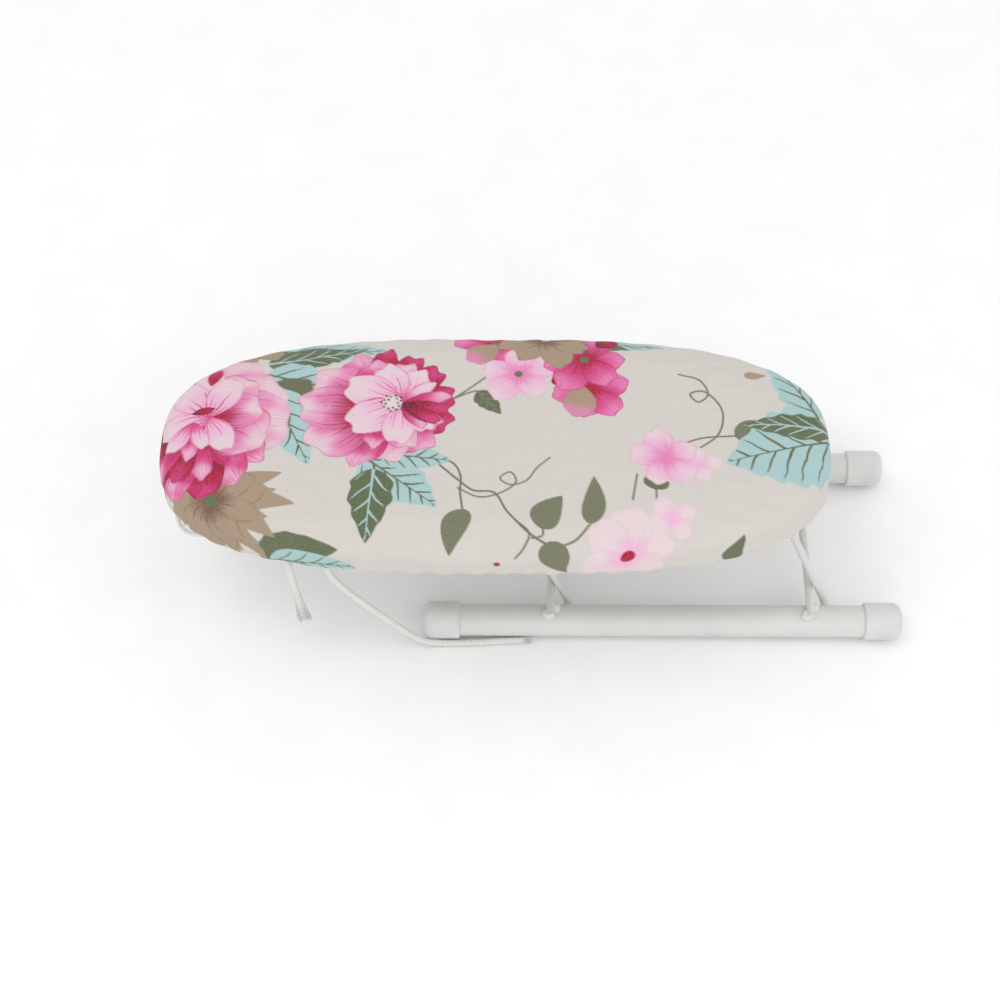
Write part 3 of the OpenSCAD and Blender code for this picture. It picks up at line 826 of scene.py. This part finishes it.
def cover_mesh():
    """The cover before it swells: rings from the middle to the hem, with puckers low on the side."""
    rows, flat = cover_rows()
    angle = even_angles(AROUND)
    run = np.linspace(0, 1, AROUND, endpoint=False)
    chance = np.random.default_rng(11)
    phase = chance.uniform(0, 2 * math.pi, 6)
    uneven = sum(np.sin(2 * math.pi * run * k + phase[i]) for i, k in enumerate((3, 7, 11, 17, 23, 31))) / 6
    pucker = np.sin(2 * math.pi * GATHERS * run + 2.2 * uneven)
    squeeze = 1 - 0.9 * SWELL_CAP / (BOARD_TOP - HEM_Z)
    centre = np.array([BOARD_X, 0.0])
    verts, print_at = [], []
    for (inset, z), flat_inset in zip(rows, flat):
        low = float(np.clip((70.0 - z) / 11.0, 0, 1)) ** 1.6
        tucked = 1 - float(smoothstep(3.5, 5.5, inset)) * (z < 60)
        depth = PUCKER_MM * low * tucked * (0.7 + 0.6 * uneven) * pucker
        rounder = 0.5 + 0.5 * float(smoothstep(60.0, 66.0, z))
        points = outline(inset * MM, angle, PANEL_POWER + (CLOTH_POWER - PANEL_POWER) * rounder)
        away = (points - centre) / np.linalg.norm(points - centre, axis=1)[:, None]
        points = points + away * depth[:, None] * MM
        height = HEM_Z + (z * MM - HEM_Z) * squeeze
        verts.append(np.column_stack([points, np.full(AROUND, height)]))
        print_at.append((outline(flat_inset * MM, angle, CLOTH_POWER) - centre) / MM)
    faces = []
    for i in range(len(rows) - 1):
        for k in range(AROUND):
            a, b = i * AROUND + k, i * AROUND + (k + 1) % AROUND
            faces.append((a, a + AROUND, b + AROUND, b))
    for k in range(1, AROUND // 2 - 1):
        faces.append((k, k + 1, AROUND - k - 1, AROUND - k))
    faces.append((0, 1, AROUND - 1))
    faces.append((AROUND // 2 - 1, AROUND // 2, AROUND // 2 + 1))
    cover = new_mesh("cotton_cover", np.vstack(verts), faces)
    flat_at = np.column_stack([np.vstack(print_at), np.zeros(len(rows) * AROUND)])
    stored = cover.data.attributes.new("print_mm", "FLOAT_VECTOR", "POINT")
    stored.data.foreach_set("vector", flat_at.astype(np.float32).ravel())
    return cover, len(rows)


def inflate(obj, pinned, pressure, cap):
    """Swells a cloth by pressure for a few frames, moves no point further than cap, and applies it."""
    scene = bpy.context.scene
    rest = coordinates(obj.data)
    group = obj.vertex_groups.new(name="pinned")
    group.add(pinned, 1.0, "REPLACE")
    cloth = obj.modifiers.new("cloth", "CLOTH")
    s = cloth.settings
    s.quality = 6
    s.mass = 0.15
    s.tension_stiffness = s.compression_stiffness = 22.0
    s.shear_stiffness = 8.0
    s.bending_stiffness = 1.2
    s.use_pressure = True
    s.uniform_pressure_force = pressure
    s.vertex_group_mass = "pinned"
    s.effector_weights.gravity = 0.0
    cloth.point_cache.frame_start, cloth.point_cache.frame_end = 1, SIM_FRAMES
    for step in range(1, SIM_FRAMES + 1):
        scene.frame_set(step)
    made = obj.evaluated_get(bpy.context.evaluated_depsgraph_get()).to_mesh()
    moved = coordinates(made) - rest
    obj.modifiers.remove(cloth)
    scene.frame_set(1)
    far = np.linalg.norm(moved, axis=1)
    share = np.minimum(1, cap / np.maximum(far, 1e-9))
    set_coordinates(obj, rest + moved * share[:, None])


def make_cover():
    """The printed cover over its foam, held along its hem while it swells."""
    cover, rows = cover_mesh()
    pinned = list(range((rows - HELD_ROWS) * AROUND, rows * AROUND))
    inflate(cover, pinned, PRESSURE, SWELL_CAP)
    smooth = cover.modifiers.new("smooth", "SUBSURF")
    smooth.levels = smooth.render_levels = 2
    apply_modifiers(cover)
    count = len(cover.data.vertices)
    at = np.zeros(count * 3, np.float32)
    cover.data.attributes["print_mm"].data.foreach_get("vector", at)
    at = at.reshape(-1, 3).astype(float)
    settle_creases(cover, at)
    ink = np.column_stack([ink_for(at[:, :2]), np.ones(count)])
    stored = cover.data.attributes.new("ink", "FLOAT_COLOR", "POINT")
    stored.data.foreach_set("color", ink.astype(np.float32).ravel())
    paint(cover, cotton("printed_cotton", rgba("cfcac4"), printed=True))
    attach(cover, "board")
    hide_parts("fabric_cover", "foam_pad")


def settle_creases(cover, at):
    """Soft dips and pulls in the cloth: broad hollows on top, and short pulls in from the edge."""
    co = coordinates(cover.data)
    x, y = at[:, 0], at[:, 1]
    broad = np.sin(0.055 * x + 0.4) * np.sin(0.09 * y + 1.1) + 0.6 * np.sin(0.11 * x - 0.07 * y + 2.0)
    co[:, 2] += 0.22 * MM * broad
    edge = np.hypot((x / (BOARD_L / 2 / MM)), (y / (BOARD_W / 2 / MM)))
    near_edge = smoothstep(0.75, 1.0, edge) * smoothstep(1.35, 1.1, edge)
    pulls = np.sin(0.42 * x + 1.4 * np.sin(0.05 * x)) * near_edge
    co[:, 2] += 0.08 * MM * pulls
    co[:, 1] += 0.12 * MM * pulls * np.sign(y)
    set_coordinates(cover, co)


make_cover()

# ---------------------------------------------------------------- hem casing, cord in it, and felt
CASING_MID_MM = 8.2
CASING_GAP_MM = (-86.0, -56.0)
CASING_PLEATS = 104
CASING_RINGS, CASING_SIDES = 700, 20
CASING_RUN_MM, CASING_ROUND_MM = 640, 15
CORD_POINTS = 420


def front_angle(offset_mm, inset_mm):
    """Angle of the outline's front point that lies at this distance along X from the middle."""
    share = abs(offset_mm) / (BOARD_L / MM / 2 - inset_mm)
    return math.pi + math.acos(share ** (PANEL_POWER / 2))


def casing_line(count):
    """Points along the tunnel's middle, all round the board but for its gap at the front."""
    start, end = (front_angle(offset, CASING_MID_MM) for offset in reversed(CASING_GAP_MM))
    points = outline(CASING_MID_MM * MM, even_angles(count, start, end + 2 * math.pi))
    z = (casing_low[2] + casing_high[2]) / 2
    return np.column_stack([points, np.full(count, z)])


def make_casing():
    """The gathered tunnel: a flattened tube with pleats that open away from the cord."""
    path = casing_line(CASING_RINGS)
    half_h, half_w = (casing_high[2] - casing_low[2]) / 2, 2.5 * MM

    def radii(i, angle):
        oval = 1 / np.sqrt((np.cos(angle) / half_w) ** 2 + (np.sin(angle) / half_h) ** 2)
        turn = 2 * math.pi * CASING_PLEATS * i / CASING_RINGS
        pleat = 0.5 + 0.5 * math.sin(turn + 1.6 * math.sin(turn * 0.13))
        down = 0.5 - 0.5 * np.sin(angle)
        return oval * (0.84 + 0.16 * pleat * (0.4 + 0.6 * down))

    casing = tube("hem_tunnel", path, radii, CASING_SIDES, capped=False)
    run = np.repeat(np.linspace(0, CASING_RUN_MM, CASING_RINGS), CASING_SIDES)
    across = np.tile(np.linspace(0, CASING_ROUND_MM, CASING_SIDES, endpoint=False), CASING_RINGS)
    stored = casing.data.attributes.new("print_mm", "FLOAT_VECTOR", "POINT")
    stored.data.foreach_set("vector", np.column_stack([run, across, 0 * run]).astype(np.float32).ravel())
    thicken(casing)
    paint(casing, cotton("plain_cotton", rgba("ccc7be"), printed=False))
    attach(casing, "board")
    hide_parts("hem_casing")


def thicken(obj):
    """Gives an open tunnel the thickness of its cloth, inwards, so that its mouths show an edge."""
    thick = obj.modifiers.new("cloth", "SOLIDIFY")
    thick.thickness = 0.5 * MM
    thick.offset = -1.0
    apply_modifiers(obj)


def make_casing_cord():
    cord, _ = twisted_rope("tunnel_cord", casing_line(CORD_POINTS), CORD_D, sides=12, step=1.4 * MM)
    paint(cord, cord_white)
    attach(cord, "board")
    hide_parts("casing_cord")


def make_felt():
    """A cut felt blank between panel and foam, with a slightly hairy cut edge."""
    low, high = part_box("felt_underlay")
    inset = BOARD_L / 2 - (high[0] - low[0]) / 2
    count = 220
    angle = even_angles(count)
    chance = np.random.default_rng(3)
    insets = inset + np.array([40, 30, 18, 8, 2, 0.3]) * MM
    verts = []
    for z, order in ((low[2], insets), (high[2] - 0.1 * MM, insets)):
        for d in order:
            points = outline(d, angle)
            verts.append(np.column_stack([points, z + chance.uniform(0, 0.1, count) * MM]))
    rows = len(insets)
    faces = []
    for layer in (0, rows):
        for i in range(layer, layer + rows - 1):
            for k in range(count):
                a, b = i * count + k, i * count + (k + 1) % count
                faces.append((a, b, b + count, a + count) if layer == 0 else (a, a + count, b + count, b))
        ring = [layer * count + k for k in range(count)]
        faces.append(tuple(reversed(ring)) if layer == 0 else tuple(ring))
    low_edge, high_edge = (rows - 1) * count, (2 * rows - 1) * count
    for k in range(count):
        b = (k + 1) % count
        faces.append((low_edge + k, low_edge + b, high_edge + b, high_edge + k))
    felt = new_mesh("felt_blank", np.vstack(verts), faces)
    paint(felt, felt_wool())
    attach(felt, "board")
    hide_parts("felt_underlay")


make_casing()
make_casing_cord()
make_felt()

# ---------------------------------------------------------------- legs and metal
WIRE_D = 3.0 * MM
FOOT_BEND, TOP_BEND = 3.0 * MM, 4.0 * MM
LEG_FOOT_HALF, LEG_TOP_HALF = 29.8 * MM, 19.0 * MM
steel = painted_steel()
BODY_OF_LEG = {"left_leg_wire": "left_leg", "right_leg_wire": "right_leg"}


def rounded_corner(a, b, c, radius, steps=9):
    """Points along a bend at b on the way from a to c."""
    into, out = (b - a).normalized(), (c - b).normalized()
    half = into.angle(out) / 2
    trim = radius * math.tan(half)
    first, last = b - into * trim, b + out * trim
    centre = b + (out - into).normalized() * radius / math.cos(half)
    axis = into.cross(out).normalized()
    start = first - centre
    return [centre + Matrix.Rotation(2 * half * i / steps, 3, axis) @ start for i in range(steps + 1)]


def leg_corners(node):
    """The wire's corners, inside the CAD leg's own box: two pins, two feet and two top corners."""
    low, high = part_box(node)
    r = WIRE_D / 2
    pin, top = Vector((high[0] - r, 0, low[2] + r)), Vector((low[0] + r, 0, high[2] - r))
    front = [pin + Vector((0, low[1], 0)), pin - Vector((0, LEG_FOOT_HALF, 0)),
             top - Vector((0, LEG_TOP_HALF, 0))]
    return front + [Vector((p.x, -p.y, p.z)) for p in reversed(front)]


def make_leg(node):
    """One leg as a single smoothly bent wire that tapers a little at its two ends."""
    c = leg_corners(node)
    points = [c[0]]
    for i, radius in ((1, FOOT_BEND), (2, TOP_BEND), (3, TOP_BEND), (4, FOOT_BEND)):
        points += rounded_corner(c[i - 1], c[i], c[i + 1], radius)
    points.append(c[5])
    path = []
    for a, b in zip(points[:-1], points[1:]):
        steps = max(1, int((b - a).length / (4 * MM)))
        path += [a + (b - a) * i / steps for i in range(steps)]
    path.append(points[-1])
    path = np.array([tuple(p) for p in path])
    count = len(path)

    def radii(i, angle):
        return np.full(len(angle), WIRE_D / 2 * (0.86 if i in (0, count - 1) else 1.0))

    leg = tube(node.replace("_wire", "_bent_wire"), path, radii, 28)
    paint(leg, steel)
    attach(leg, BODY_OF_LEG[node])
    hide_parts(node)


for leg_node in BODY_OF_LEG:
    make_leg(leg_node)

plastic = cap_plastic()
rivet = bare_steel()
for name, node in nodes.items():
    if name.endswith("_cap"):
        paint(node, plastic)
    elif name == "clip_rivets":
        paint(node, rivet)
    else:
        paint(node, steel)
